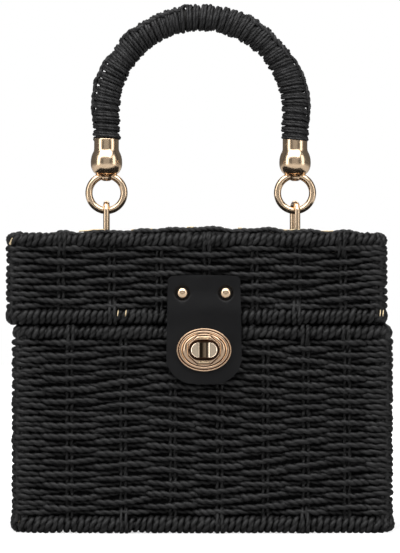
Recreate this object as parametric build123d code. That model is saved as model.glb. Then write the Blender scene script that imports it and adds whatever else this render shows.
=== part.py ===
# Basket box bag: a woven cord box with a lashed lid, a leather tab with a turn lock,
# and an arched cord-wrapped handle held by two rings.
# Millimetres. +Z is up, the front faces -Y, and the origin is under the middle of the box.
import os
from math import asin, cos, sqrt

from build123d import *

# ---- driving dimensions: the box ---------------------------------------------------------
RIM_HALF_X = 96.2          # middle of the wall and of its rim wires, from the box's centre
RIM_HALF_Y = 46.5
RIM_CORNER_R = 6.0         # bend of the rim wires at the box's corners
WALL = 5.6                 # thickness of the woven wall over its strands
WIRE_R = 1.5               # frame wire
LID_SHIFT = -3.0           # the hand-made lid sits this far to the left of the body

BASE_RIM_Z = 4.5           # middle of the rim bound round the base
BASE_RIM_R = 4.6
FLOOR_LOW = 4.2            # woven floor
FLOOR_TOP = 9.2
BODY_RIM_Z = 104.1         # middle of the rim round the body's mouth
BODY_RIM_R = 3.75
LID_RIM_Z = 112.4          # middle of the rim round the lid's mouth
LID_RIM_R = 4.2
LID_TOP_RIM_Z = 152.0      # middle of the rim round the lid's top
LID_TOP_RIM_R = 4.0
PANEL_LOW = 148.0          # woven top of the lid
PANEL_TOP = 153.0
LINING = 0.8               # cloth lining
BODY_LINING_TOP = 95.5
LID_LINING_LOW = 121.0
LID_LINING_TOP = 147.2

# ---- driving dimensions: hinge lashings --------------------------------------------------
HINGE_X = (-58.0, 58.0)
LASHING_WIDTH = 10.0
LASHING_THICK = 1.8
LASHING_INSIDE = 4.25      # half the gap that the loop leaves for the rims
NOTCH_SPARE = 0.6

# ---- driving dimensions: leather tab and its rivets --------------------------------------
TAB_X = 0.9                # the tab and its lock sit this far to the right of the middle
TAB_WIDTH = 39.0
TAB_TOP_Z = 133.9
TAB_LOW_Z = 77.7
TAB_THICK = 2.0
TAB_TOP_CORNER = 4.0
TAB_LOW_CORNER = 14.0
TAB_BACK_AT_LID = -49.4    # the leather's back where it is riveted down
TAB_BACK_HANGING = -51.0   # and where it hangs over the rims
TAB_STEP_Z = (121.0, 117.5)
RIVET_X = 11.2
RIVET_Z = 124.6
RIVET_POST_R = 1.1
RIVET_HEAD_R = 2.85
RIVET_HEAD_H = 1.4
RIVET_WASHER_R = 3.4

# ---- driving dimensions: turn lock -------------------------------------------------------
LOCK_Z = 95.2
PLATE_LONG, PLATE_TALL = 28.5, 22.5
PLATE_BAND = 1.2           # thickness of the flat band
PLATE_LIP = 0.5            # height of the lip round the edge
PLATE_LIP_WIDTH = 1.1
DISH_LONG, DISH_TALL = 22.0, 15.3
DISH_DEPTH = 0.55
SLOT_LONG, SLOT_TALL = 14.8, 9.3
BACK_PLATE = 0.4
LOCK_BASE_LONG, LOCK_BASE_TALL = 22.0, 10.4
LOCK_BASE_THICK = 1.0
BOSS_LONG, BOSS_TALL = 13.1, 7.5
BOSS_FRONT = -53.9
KNOB_LONG, KNOB_TALL = 13.3, 7.6
KNOB_BACK, KNOB_FRONT = -54.9, -58.2
KNOB_NECK_R = 2.6
STEM_R = 1.5
STEM_FIT = 0.06            # running clearance round the stem
STEM_HEAD_R = 2.4
STEM_HEAD = 0.9
DETENT_R = 3.8
DETENT_THICK = 0.5
LOCK_WELL_R = 4.8          # hole through the weave behind the lock
TANG_X = 8.2
TANG_WIDTH, TANG_THICK = 0.9, 3.0
WASHER_THICK = 0.9

# ---- driving dimensions: handle and its fittings -----------------------------------------
HANDLE_X = -0.8            # the handle stands this far to the left of the middle
HANDLE_HALF = 50.3         # half the distance between its legs
ARCH_Z = 221.0             # centre of the handle's arch
GRIP_R = 7.25              # over the cord wrapping
CORE_R = 4.9
CAP_TOP_Z = 206.9
CAP_SLEEVE_R = 6.6
CAP_SHOULDER_Z = 199.9
CAP_BULB_R = 8.2
CAP_BULB_HIGH_Z = 196.2
CAP_BULB_LOW_Z = 191.0
CAP_UNDER_Z = 187.7
CAP_UNDER_R = 6.2
CAP_BORE_LOW = 194.0
CAP_LUG_R = 3.0
CAP_LUG_LOW = 184.0
RING_R = 9.36              # to the middle of the ring's wire
RING_WIRE_R = 1.92
RING_PLAY = 0.15           # clearance round the ring's wire in the cap
RING_PIVOT_Z = 168.3       # middle of the ring's wire where it hangs in the staple
STAPLE_WIRE_R = 1.6
STAPLE_HALF = 4.5          # from the staple's middle to each leg
STAPLE_ARCH_Z = 167.6
STAPLE_TURN = (0.0, 14.0)  # the right staple was set a little askew
STAPLE_PLATE = (9.0, 19.0)
STAPLE_PLATE_THICK = 0.8
RING_FOLD = 62.0           # how far each ring swings
HANDLE_FOLD = 40.0         # and how far the handle swings in them

# ---- derived -----------------------------------------------------------------------------
WALL_FRONT = -(RIM_HALF_Y + WALL / 2)
WALL_INSIDE = -(RIM_HALF_Y - WALL / 2)
TAB_FRONT = TAB_BACK_HANGING - TAB_THICK
RING_TOP_Z = RING_PIVOT_Z + 2 * RING_R
FAR = 300.0                # longer than the bag, for cutting tools


def rim_path(z, grow=0.0):
    """The closed line of a rim: the box's rounded outline at one height."""
    outline = RectangleRounded(2 * (RIM_HALF_X + grow), 2 * (RIM_HALF_Y + grow), RIM_CORNER_R + grow)
    return Pos(0, 0, z) * outline.face().outer_wire()


def tube(path, radius):
    """A round bar along a path."""
    section = Plane(origin=path @ 0, z_dir=path % 0) * Circle(radius)
    return sweep(section, path=path)


def wall_ring(low, high, outside, inside):
    """An upright band that follows the box's outline, between two offsets from its middle line."""
    outer = RectangleRounded(2 * (RIM_HALF_X + outside), 2 * (RIM_HALF_Y + outside), RIM_CORNER_R + outside)
    inner = RectangleRounded(2 * (RIM_HALF_X + inside), 2 * (RIM_HALF_Y + inside), RIM_CORNER_R + inside)
    return extrude(Pos(0, 0, low) * (outer - inner), amount=high - low)


def slab(low, high, grow):
    """A flat panel with the box's outline."""
    outline = RectangleRounded(2 * (RIM_HALF_X + grow), 2 * (RIM_HALF_Y + grow), RIM_CORNER_R + grow)
    return extrude(Pos(0, 0, low) * outline, amount=high - low)


def along_y(sketch, y_from, y_to, x=0.0, z=0.0):
    """A sketch drawn on the front, X to the right and Z up, given a thickness from y_from to y_to."""
    front = Plane(origin=(x, y_from, z), x_dir=(1, 0, 0), z_dir=(0, -1, 0))
    return extrude(front * sketch, amount=y_from - y_to)


def bar_y(radius, y_from, y_to, x, z):
    """A round bar through the front wall."""
    return along_y(Circle(radius), y_from, y_to, x, z)


def frame_posts(low, high):
    """Four upright wires at the corners of the box."""
    lean = RIM_CORNER_R - RIM_CORNER_R / sqrt(2)
    post = Cylinder(WIRE_R, high - low, align=(Align.CENTER, Align.CENTER, Align.MIN))
    posts = []
    for side_x in (-1, 1):
        for side_y in (-1, 1):
            posts.append(Pos(side_x * (RIM_HALF_X - lean), side_y * (RIM_HALF_Y - lean), low) * post)
    return posts


def lashing(x):
    """A flat band of cord turns round the lid's rear rim and the body's rear rim."""
    rise = LID_RIM_Z - BODY_RIM_Z
    side = Plane(origin=(x - LASHING_WIDTH / 2, RIM_HALF_Y, BODY_RIM_Z + rise / 2), x_dir=(0, 0, 1), z_dir=(1, 0, 0))
    outer = SlotOverall(rise + 2 * (LASHING_INSIDE + LASHING_THICK), 2 * (LASHING_INSIDE + LASHING_THICK))
    inner = SlotOverall(rise + 2 * LASHING_INSIDE, 2 * LASHING_INSIDE)
    return extrude(side * (outer - inner), amount=LASHING_WIDTH)


def notch(x, low, high):
    """The space that a lashing takes through the rear wall."""
    size_y = WALL + 6.0
    return Pos(x, RIM_HALF_Y, (low + high) / 2) * Box(LASHING_WIDTH + 2 * NOTCH_SPARE, size_y, high - low)


# ---- frames: bent and welded wire --------------------------------------------------------
base_wire = tube(rim_path(BASE_RIM_Z), WIRE_R)
mouth_wire = tube(rim_path(BODY_RIM_Z), WIRE_R)
body_frame = base_wire + mouth_wire + frame_posts(BASE_RIM_Z, BODY_RIM_Z)

lid_mouth_wire = tube(rim_path(LID_RIM_Z), WIRE_R)
lid_top_wire = tube(rim_path(LID_TOP_RIM_Z), WIRE_R)
lid_frame = lid_mouth_wire + lid_top_wire + frame_posts(LID_RIM_Z, LID_TOP_RIM_Z)

# ---- rims: cord bound round the frame wires ----------------------------------------------
base_rim = tube(rim_path(BASE_RIM_Z), BASE_RIM_R)
under_floor = Pos(0, 0, -FAR / 2) * Box(FAR, FAR, FAR)
body_binding_bottom = base_rim - body_frame - under_floor
mouth_rim = tube(rim_path(BODY_RIM_Z), BODY_RIM_R)
body_binding_top = mouth_rim - body_frame
lid_rim = tube(rim_path(LID_RIM_Z), LID_RIM_R)
lid_binding_bottom = lid_rim - lid_frame
lid_top_rim = tube(rim_path(LID_TOP_RIM_Z), LID_TOP_RIM_R)
lid_binding_top = lid_top_rim - lid_frame

# ---- woven walls, floor and lid panel ----------------------------------------------------
body_weave = wall_ring(BASE_RIM_Z - 1, BODY_RIM_Z - 1.6, WALL / 2, -WALL / 2) + slab(FLOOR_LOW, FLOOR_TOP, 0)
body_weave = body_weave - base_rim - mouth_rim - body_frame
lid_weave = wall_ring(LID_RIM_Z + 1.6, LID_TOP_RIM_Z - 1, WALL / 2, -WALL / 2) + slab(PANEL_LOW, PANEL_TOP, 0)
lid_weave = lid_weave - lid_rim - lid_top_rim - lid_frame

# ---- cloth linings -----------------------------------------------------------------------
body_lining = wall_ring(FLOOR_TOP, BODY_LINING_TOP, -WALL / 2, -WALL / 2 - LINING)
body_lining = body_lining + slab(FLOOR_TOP, FLOOR_TOP + LINING, -WALL / 2)
lid_lining = wall_ring(LID_LINING_LOW, LID_LINING_TOP, -WALL / 2, -WALL / 2 - LINING)
lid_lining = lid_lining + slab(LID_LINING_TOP - LINING, LID_LINING_TOP, -WALL / 2)

# ---- hinge: cord lashings that hold the lid's rear rim to the body's ---------------------
hinge_loops = {"hinge_loop_left": lashing(HINGE_X[0]), "hinge_loop_right": lashing(HINGE_X[1])}
for hinge_x in HINGE_X:
    body_weave = body_weave - notch(hinge_x, BODY_RIM_Z - 8.3, BODY_RIM_Z)
    lid_weave = lid_weave - notch(hinge_x - LID_SHIFT, LID_RIM_Z, LID_RIM_Z + 6.8)

# the lid's own pieces move over to where the lid sits
lid_frame = Pos(LID_SHIFT, 0, 0) * lid_frame
lid_weave = Pos(LID_SHIFT, 0, 0) * lid_weave
lid_lining = Pos(LID_SHIFT, 0, 0) * lid_lining
lid_binding_top = Pos(LID_SHIFT, 0, 0) * lid_binding_top
lid_binding_bottom = Pos(LID_SHIFT, 0, 0) * lid_binding_bottom

# ---- leather tab: riveted to the lid, stepping out over the two rims ---------------------
tab_height = TAB_TOP_Z - TAB_LOW_Z
tab_middle = (TAB_TOP_Z + TAB_LOW_Z) / 2
tab_outline = Rectangle(TAB_WIDTH, tab_height)
upper = tab_outline.vertices().group_by(Axis.Y)[-1]
lower = tab_outline.vertices().group_by(Axis.Y)[0]
tab_outline = fillet(upper, TAB_TOP_CORNER)
tab_outline = fillet(tab_outline.vertices().group_by(Axis.Y)[0], TAB_LOW_CORNER)
tab_side = Polyline(
    (TAB_BACK_AT_LID, TAB_TOP_Z),
    (TAB_BACK_AT_LID, TAB_STEP_Z[0]),
    (TAB_BACK_HANGING, TAB_STEP_Z[1]),
    (TAB_BACK_HANGING, TAB_LOW_Z),
    (TAB_FRONT, TAB_LOW_Z),
    (TAB_FRONT, TAB_STEP_Z[1]),
    (TAB_BACK_AT_LID - TAB_THICK, TAB_STEP_Z[0]),
    (TAB_BACK_AT_LID - TAB_THICK, TAB_TOP_Z),
    close=True,
)
across = Plane(origin=(TAB_X - TAB_WIDTH / 2, 0, 0), x_dir=(0, 1, 0), z_dir=(1, 0, 0))
leather_tab = extrude(across * make_face(tab_side), amount=TAB_WIDTH)
leather_tab = leather_tab & along_y(tab_outline, 0, -FAR, TAB_X, tab_middle)
leather_tab = leather_tab - along_y(SlotOverall(SLOT_LONG, SLOT_TALL), 0, -FAR, TAB_X, LOCK_Z)

# ---- rivets and their washers inside the lid ---------------------------------------------
rivets = []
washers = []
head_seat = TAB_BACK_AT_LID - TAB_THICK
washer_face = WALL_INSIDE + LINING
dome_r = (RIVET_HEAD_R**2 + RIVET_HEAD_H**2) / (2 * RIVET_HEAD_H)
for rivet_x in (TAB_X - RIVET_X, TAB_X + RIVET_X):
    ball = Pos(rivet_x, head_seat - RIVET_HEAD_H + dome_r, RIVET_Z) * Sphere(dome_r)
    dome = ball & bar_y(RIVET_HEAD_R, head_seat, head_seat - RIVET_HEAD_H, rivet_x, RIVET_Z)
    post = bar_y(RIVET_POST_R, washer_face + WASHER_THICK, head_seat, rivet_x, RIVET_Z)
    clear = bar_y(RIVET_POST_R, washer_face + WASHER_THICK + 1, head_seat, rivet_x, RIVET_Z)
    rivets.append(dome + post)
    washers.append(bar_y(RIVET_WASHER_R, washer_face + WASHER_THICK, washer_face, rivet_x, RIVET_Z) - clear)
    lid_weave = lid_weave - clear
    lid_lining = lid_lining - clear
    leather_tab = leather_tab - clear
tab_rivets = Compound(children=rivets)
rivet_washers = Compound(children=washers)

# ---- turn lock: plate on the leather -----------------------------------------------------
slot = along_y(SlotOverall(SLOT_LONG, SLOT_TALL), 0, -FAR, TAB_X, LOCK_Z)
band_front = TAB_FRONT - PLATE_BAND
lip_front = band_front - PLATE_LIP
lock_plate = along_y(Ellipse(PLATE_LONG / 2, PLATE_TALL / 2), TAB_FRONT, lip_front, TAB_X, LOCK_Z)
lock_plate = fillet(lock_plate.faces().sort_by(Axis.Y)[0].edges(), PLATE_LIP)
inside_lip = Ellipse(PLATE_LONG / 2 - PLATE_LIP_WIDTH, PLATE_TALL / 2 - PLATE_LIP_WIDTH)
lock_plate = lock_plate - along_y(inside_lip, band_front, -FAR, TAB_X, LOCK_Z)
dish_floor = band_front + DISH_DEPTH
lock_plate = lock_plate - along_y(Ellipse(DISH_LONG / 2, DISH_TALL / 2), dish_floor, -FAR, TAB_X, LOCK_Z)
lock_plate = lock_plate - slot
back_front = TAB_BACK_HANGING + BACK_PLATE
lock_plate_back = along_y(Ellipse(PLATE_LONG / 2 - 1, PLATE_TALL / 2 - 1), back_front, TAB_BACK_HANGING, TAB_X, LOCK_Z)
lock_plate_back = lock_plate_back - slot

# ---- turn lock: base on the body, with its washer inside ---------------------------------
base_front = WALL_FRONT - LOCK_BASE_THICK
lock_base = along_y(Ellipse(LOCK_BASE_LONG / 2, LOCK_BASE_TALL / 2), WALL_FRONT, base_front, TAB_X, LOCK_Z)
lock_base = lock_base + along_y(SlotOverall(BOSS_LONG, BOSS_TALL), WALL_FRONT, BOSS_FRONT, TAB_X, LOCK_Z)
lock_base = lock_base - bar_y(STEM_R + STEM_FIT, 0, -FAR, TAB_X, LOCK_Z)
inner_face = WALL_INSIDE + LINING
tang_holes = []
for tang_x in (TAB_X - TANG_X, TAB_X + TANG_X):
    tang = along_y(Rectangle(TANG_WIDTH, TANG_THICK), inner_face + WASHER_THICK, WALL_FRONT, tang_x, LOCK_Z)
    lock_base = lock_base + tang
    tang_holes.append(tang)
lock_base_washer = along_y(
    Ellipse(LOCK_BASE_LONG / 2, LOCK_BASE_TALL / 2), inner_face + WASHER_THICK, inner_face, TAB_X, LOCK_Z
)
lock_base_washer = lock_base_washer - tang_holes - bar_y(STEM_HEAD_R + 1, 0, -FAR, TAB_X, LOCK_Z)
well = bar_y(LOCK_WELL_R, 0, WALL_FRONT, TAB_X, LOCK_Z)
body_weave = body_weave - tang_holes - well
body_lining = body_lining - tang_holes

# ---- turn lock: knob on a stem, held by a detent spring washer ---------------------------
knob = along_y(SlotOverall(KNOB_LONG, KNOB_TALL), KNOB_BACK, KNOB_FRONT, TAB_X, LOCK_Z)
knob = fillet(knob.faces().sort_by(Axis.Y)[0].edges(), 1.0)
scoop_r = 11.0
scoop_depth = 1.3
scoop = Pos(TAB_X, KNOB_FRONT + scoop_depth - scoop_r, LOCK_Z) * Cylinder(scoop_r, KNOB_TALL + 4)
knob = knob - scoop
neck = bar_y(KNOB_NECK_R, BOSS_FRONT - 0.1, KNOB_BACK, TAB_X, LOCK_Z)
detent_face = WALL_FRONT + 0.1
stem_head_face = detent_face + DETENT_THICK
stem = bar_y(STEM_R, stem_head_face, BOSS_FRONT - 0.1, TAB_X, LOCK_Z)
stem_head = bar_y(STEM_HEAD_R, stem_head_face + STEM_HEAD, stem_head_face, TAB_X, LOCK_Z)
turn_knob = knob + neck + stem + stem_head
detent_spring = bar_y(DETENT_R, stem_head_face, detent_face, TAB_X, LOCK_Z) - bar_y(STEM_R, 0, -FAR, TAB_X, LOCK_Z)

# ---- staples on the lid, clenched on plates under its woven top --------------------------
staples = {}
leg_low = LID_LINING_TOP
for side, turn, name in ((-1, STAPLE_TURN[0], "left"), (1, STAPLE_TURN[1], "right")):
    legs = Line((0, -STAPLE_HALF, leg_low), (0, -STAPLE_HALF, STAPLE_ARCH_Z))
    arch = ThreePointArc(
        (0, -STAPLE_HALF, STAPLE_ARCH_Z),
        (0, 0, STAPLE_ARCH_Z + STAPLE_HALF),
        (0, STAPLE_HALF, STAPLE_ARCH_Z),
    )
    far_leg = Line((0, STAPLE_HALF, STAPLE_ARCH_Z), (0, STAPLE_HALF, leg_low))
    place = Pos(HANDLE_X + side * HANDLE_HALF, 0, 0) * Rot(0, 0, turn)
    staple = place * tube(Wire([legs, arch, far_leg]), STAPLE_WIRE_R)
    plate = place * Pos(0, 0, (LID_LINING_TOP + PANEL_LOW) / 2) * Box(*STAPLE_PLATE, STAPLE_PLATE_THICK)
    staples["staple_" + name] = staple
    staples["staple_plate_" + name] = plate - staple
    lid_weave = lid_weave - staple

# ---- rings -------------------------------------------------------------------------------
rings = {}
for side, name in ((-1, "left"), (1, "right")):
    middle = Pos(HANDLE_X + side * HANDLE_HALF, 0, RING_PIVOT_Z + RING_R)
    ring = middle * Rot(90, 0, 0) * Torus(RING_R, RING_WIRE_R)
    rings["ring_" + name] = ring

# ---- handle: core, wrapping and end caps -------------------------------------------------


def arch_path(low):
    """The handle's line: two straight legs and a half circle."""
    left = HANDLE_X - HANDLE_HALF
    right = HANDLE_X + HANDLE_HALF
    up = Line((left, 0, low), (left, 0, ARCH_Z))
    over = ThreePointArc((left, 0, ARCH_Z), (HANDLE_X, 0, ARCH_Z + HANDLE_HALF), (right, 0, ARCH_Z))
    down = Line((right, 0, ARCH_Z), (right, 0, low))
    return Wire([up, over, down])


handle_core = tube(arch_path(CAP_BORE_LOW), CORE_R)
handle_wrap = tube(arch_path(CAP_TOP_Z), GRIP_R) - handle_core


def lug_clearance(reach):
    """The cross hole in a cap's lug, flared so that the ring's curve clears it as it swings."""
    drop = RING_R - sqrt(RING_R**2 - reach**2)
    slope = asin(reach / RING_R)
    mouth = drop + RING_WIRE_R / cos(slope) + RING_PLAY
    throat = RING_WIRE_R + RING_PLAY
    edge = ThreePointArc((-reach, mouth), (0, throat), (reach, mouth))
    sides = Polyline((reach, mouth), (reach, 0), (-reach, 0), (-reach, mouth))
    return revolve(Plane.XZ * make_face([edge, sides]), axis=Axis.X)


def end_cap(x):
    """A turned and hollowed cap: sleeve, bulb and a lug with a cross hole for the ring."""
    lug_round = 0.7
    outline = [
        Line((0, CAP_LUG_LOW), (CAP_LUG_R - lug_round, CAP_LUG_LOW)),
        ThreePointArc(
            (CAP_LUG_R - lug_round, CAP_LUG_LOW),
            (CAP_LUG_R - lug_round * (1 - 1 / sqrt(2)), CAP_LUG_LOW + lug_round * (1 - 1 / sqrt(2))),
            (CAP_LUG_R, CAP_LUG_LOW + lug_round),
        ),
        Line((CAP_LUG_R, CAP_LUG_LOW + lug_round), (CAP_LUG_R, CAP_UNDER_Z)),
        Line((CAP_LUG_R, CAP_UNDER_Z), (CAP_UNDER_R, CAP_UNDER_Z)),
        ThreePointArc((CAP_UNDER_R, CAP_UNDER_Z), (7.7, 188.9), (CAP_BULB_R, CAP_BULB_LOW_Z)),
        Line((CAP_BULB_R, CAP_BULB_LOW_Z), (CAP_BULB_R, CAP_BULB_HIGH_Z)),
        ThreePointArc((CAP_BULB_R, CAP_BULB_HIGH_Z), (7.85, 197.7), (7.15, 198.9)),
        ThreePointArc((7.15, 198.9), (6.75, 199.5), (CAP_SLEEVE_R, 200.4)),
        Line((CAP_SLEEVE_R, 200.4), (CAP_SLEEVE_R, CAP_TOP_Z)),
        Line((CAP_SLEEVE_R, CAP_TOP_Z), (CORE_R, CAP_TOP_Z)),
        Line((CORE_R, CAP_TOP_Z), (CORE_R, CAP_BORE_LOW)),
        Line((CORE_R, CAP_BORE_LOW), (0, CAP_BORE_LOW)),
        Line((0, CAP_BORE_LOW), (0, CAP_LUG_LOW)),
    ]
    cap = revolve(Plane.XZ * make_face(outline), axis=Axis.Z)
    cap = cap - Pos(0, 0, RING_TOP_Z) * lug_clearance(CAP_LUG_R + 0.01)
    groove_r = 2.45
    groove_long = 7.0
    for side in (-1, 1):
        middle = side * (CAP_LUG_R + groove_long / 2)
        cap = cap - Pos(middle, 0, RING_TOP_Z) * Rot(0, 90, 0) * Cylinder(groove_r, groove_long)
    return Pos(x, 0, 0) * cap


cap_left = end_cap(HANDLE_X - HANDLE_HALF)
cap_right = end_cap(HANDLE_X + HANDLE_HALF)

# ---- write one file a piece --------------------------------------------------------------
pieces = {
    "body_frame": body_frame,
    "body_weave": body_weave,
    "body_binding_top": body_binding_top,
    "body_binding_bottom": body_binding_bottom,
    "body_lining": body_lining,
    "lock_base": lock_base,
    "lock_base_washer": lock_base_washer,
    "turn_knob": turn_knob,
    "detent_spring": detent_spring,
    "lid_frame": lid_frame,
    "lid_weave": lid_weave,
    "lid_binding_top": lid_binding_top,
    "lid_binding_bottom": lid_binding_bottom,
    "lid_lining": lid_lining,
    "leather_tab": leather_tab,
    "tab_rivets": tab_rivets,
    "rivet_washers": rivet_washers,
    "lock_plate": lock_plate,
    "lock_plate_back": lock_plate_back,
    "handle_core": handle_core,
    "handle_wrap": handle_wrap,
    "cap_left": cap_left,
    "cap_right": cap_right,
    **hinge_loops,
    **staples,
    **rings,
}

os.makedirs("parts", exist_ok=True)
for name, piece in pieces.items():
    export_step(piece, f"parts/{name}.step")
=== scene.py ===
import math

import bmesh
import bpy
from mathutils import Matrix, Vector, noise


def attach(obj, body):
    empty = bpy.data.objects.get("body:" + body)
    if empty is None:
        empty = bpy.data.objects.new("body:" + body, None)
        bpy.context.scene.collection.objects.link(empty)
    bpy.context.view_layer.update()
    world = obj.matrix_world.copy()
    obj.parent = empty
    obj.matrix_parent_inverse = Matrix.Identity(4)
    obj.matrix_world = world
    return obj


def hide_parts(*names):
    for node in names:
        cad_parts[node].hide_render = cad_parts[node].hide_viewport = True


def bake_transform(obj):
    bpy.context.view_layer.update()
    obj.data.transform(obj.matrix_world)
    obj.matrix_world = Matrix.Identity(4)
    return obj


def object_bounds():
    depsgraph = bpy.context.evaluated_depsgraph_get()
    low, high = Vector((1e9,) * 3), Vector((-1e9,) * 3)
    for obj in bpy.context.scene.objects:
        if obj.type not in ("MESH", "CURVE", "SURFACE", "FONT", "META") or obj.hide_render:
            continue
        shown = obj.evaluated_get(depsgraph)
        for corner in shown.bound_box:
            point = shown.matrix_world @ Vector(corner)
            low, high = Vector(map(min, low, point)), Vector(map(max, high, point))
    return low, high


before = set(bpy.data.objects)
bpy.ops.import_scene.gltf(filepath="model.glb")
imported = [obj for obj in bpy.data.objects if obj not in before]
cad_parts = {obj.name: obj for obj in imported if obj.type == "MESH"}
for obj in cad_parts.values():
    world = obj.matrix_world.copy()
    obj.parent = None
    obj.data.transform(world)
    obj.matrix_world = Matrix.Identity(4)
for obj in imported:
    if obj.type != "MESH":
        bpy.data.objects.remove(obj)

cad_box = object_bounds()
MM = 0.001

# ---- Studio ------------------------------------------------------------------------------
# A level camera with a long lens looks straight at the front. A large pale floor, a wide soft
# light overhead and weaker ones at the sides, front and back light the bag on a white ground.
CAMERA_X = -1.2 * MM
CAMERA_Z = 133.1 * MM
CAMERA_AWAY = 1.61
FRONT_WIDTH = 206.0 * MM
FILM_WIDTH = 36.0
BAG_MIDDLE = Vector((0, 0, 0.13))
SOFT_LIGHTS = (
    ("light_overhead", (-0.1, -0.7, 1.35), 2.4, 1.6, 37),
    ("light_left", (-1.2, -0.7, 0.35), 0.5, 1.3, 5),
    ("light_right", (1.2, -0.7, 0.35), 0.5, 1.3, 4),
    ("light_front", (0, -2.1, 0.3), 1.7, 1.3, 1.8),
    ("light_back", (0, 1.4, 1.1), 1.6, 0.9, 8),
)
ROOM_GREY = 0.80
ROOM_STRENGTH = 0.16
FLOOR_HALF = 3.0
FLOOR_GREY = 0.45
# Painted shadow: the floor's glow is dimmer in an oval pool close round the bag.
FLOOR_GLOW_PAINTED_SHADOW = ((0.17, (0.6, 0.6, 0.6)), (0.225, (0.8, 0.8, 0.8)), (1.0, (1.0, 1.0, 1.0)))
FLOOR_SHADOW_REACH = 0.34
FLOOR_SHADOW_OVAL = (0.62, 1.0, 1.0)
FLOOR_GLOW_ON_BAG = 0.12


def placed(name, data):
    """A new object at the origin."""
    thing = bpy.data.objects.new(name, data)
    bpy.context.collection.objects.link(thing)
    return thing


def connect(node, *feeds, **sockets):
    """Feeds a node's inputs, by position or by name with _ for a space. Each is given a value, or
    an output to be linked to, or a node, which stands for its first live output."""
    for key, feed in [*enumerate(feeds), *sockets.items()]:
        socket = node.inputs[key if isinstance(key, int) else key.replace("_", " ")]
        if isinstance(feed, bpy.types.Node):
            feed = next(output for output in feed.outputs if output.enabled)
        if isinstance(feed, bpy.types.NodeSocket):
            node.id_data.links.new(feed, socket)
        else:
            socket.default_value = feed
    return node


def add_node(tree, kind, *feeds, operation=None, **sockets):
    """A new node with its inputs fed."""
    node = tree.nodes.new("ShaderNode" + kind)
    if operation:
        node.operation = operation
    return connect(node, *feeds, **sockets)


def colour_ramp(tree, feed, *stops):
    """A ramp through stops of (place, colour)."""
    node = add_node(tree, "ValToRGB", feed)
    elements = node.color_ramp.elements
    while len(elements) < len(stops):
        elements.new(1.0)
    for element, (place, colour) in zip(elements, stops):
        element.position = place
        element.color = (*colour, 1)
    return node


def new_finish(name):
    """A new material, with its node tree and its shader."""
    material = bpy.data.materials.new(name)
    material.use_nodes = True
    return material, material.node_tree, material.node_tree.nodes["Principled BSDF"]


camera_data = bpy.data.cameras.new("camera")
camera_data.sensor_fit = "HORIZONTAL"
camera_data.sensor_width = FILM_WIDTH
camera_data.lens = FILM_WIDTH * CAMERA_AWAY / FRONT_WIDTH
camera_data.clip_end = 20.0
camera = placed("camera", camera_data)
camera.location = (CAMERA_X, cad_box[0][1] - CAMERA_AWAY, CAMERA_Z)
camera.rotation_euler = (math.radians(90), 0, 0)
bpy.context.scene.camera = camera

for name, place, wide, tall, watts in SOFT_LIGHTS:
    lamp = bpy.data.lights.new(name, "AREA")
    lamp.shape = "RECTANGLE"
    lamp.size, lamp.size_y, lamp.energy = wide, tall, watts
    light = placed(name, lamp)
    light.location = place
    light.rotation_euler = (BAG_MIDDLE - Vector(place)).to_track_quat("-Z", "Y").to_euler()

world = bpy.data.worlds.new("studio")
world.use_nodes = True
bpy.context.scene.world = world
sky = world.node_tree
room = connect(sky.nodes["Background"], Color=(ROOM_GREY, ROOM_GREY, ROOM_GREY, 1), Strength=ROOM_STRENGTH)
ground = add_node(sky, "Background", Color=(1, 1, 1, 1), Strength=1.0)
sight = add_node(sky, "LightPath").outputs["Is Camera Ray"]
connect(sky.nodes["World Output"], Surface=add_node(sky, "MixShader", sight, room, ground))
bpy.context.scene.view_settings.view_transform = "Standard"

floor_mesh = bmesh.new()
bmesh.ops.create_grid(floor_mesh, x_segments=1, y_segments=1, size=FLOOR_HALF)
floor_data = bpy.data.meshes.new("floor")
floor_mesh.to_mesh(floor_data)
floor_mesh.free()
paper, paper_tree, paper_shader = new_finish("white_paper")
# The floor glows, dim under the bag and full far off: a painted soft shadow round the base. The camera sees
# the whole glow, and the bag gets a small share of it.
paper_place = add_node(paper_tree, "TexCoord").outputs["Object"]
paper_oval = add_node(paper_tree, "Mapping", paper_place, Scale=FLOOR_SHADOW_OVAL)
paper_away = add_node(paper_tree, "VectorMath", paper_oval, operation="LENGTH")
paper_reach = add_node(paper_tree, "MapRange", paper_away, From_Max=FLOOR_SHADOW_REACH)
paper_glow_painted_shadow = colour_ramp(paper_tree, paper_reach, *FLOOR_GLOW_PAINTED_SHADOW)
paper_sight = add_node(paper_tree, "LightPath").outputs["Is Camera Ray"]
paper_share = add_node(paper_tree, "MapRange", paper_sight, To_Min=FLOOR_GLOW_ON_BAG)
paper_lit = add_node(paper_tree, "Math", paper_share, paper_glow_painted_shadow, operation="MULTIPLY")
connect(
    paper_shader, Base_Color=(FLOOR_GREY, FLOOR_GREY, FLOOR_GREY, 1), Roughness=0.9, Specular_IOR_Level=0.0,
    Emission_Color=(1, 1, 1, 1), Emission_Strength=paper_lit,
)
floor_data.materials.append(paper)
placed("floor", floor_data)

# ---- Cord --------------------------------------------------------------------------------
# The whole bag is worked in one black paper cord: two plies, each rolled from a strip of
# paper, twisted together. Every run of cord is a line with that two-ply section turning on it.
CORD_R = 1.8 * MM
PLY_TURN = 9.6 * MM
CORD_STEP = 1.08 * MM
CORD_SHAPE = (1.0, 0.92, 0.74, 0.92)
PLY_SHAPE = (1.0, 1.0, 1.0)
TWIST_SLACK = 3.4
THICK_AND_THIN = 0.30
PLAIN_CORD = {"ply_turn": 1.0, "shape": PLY_SHAPE}


def full_turn(count):
    """Evenly spaced angles round a circle."""
    return [2 * math.pi * i / count for i in range(count)]


def wander(x, y, z=0.0):
    """The smooth unevenness of hand work, between about -1 and 1 and the same each time."""
    return noise.noise(Vector((x, y, z)))


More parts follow.
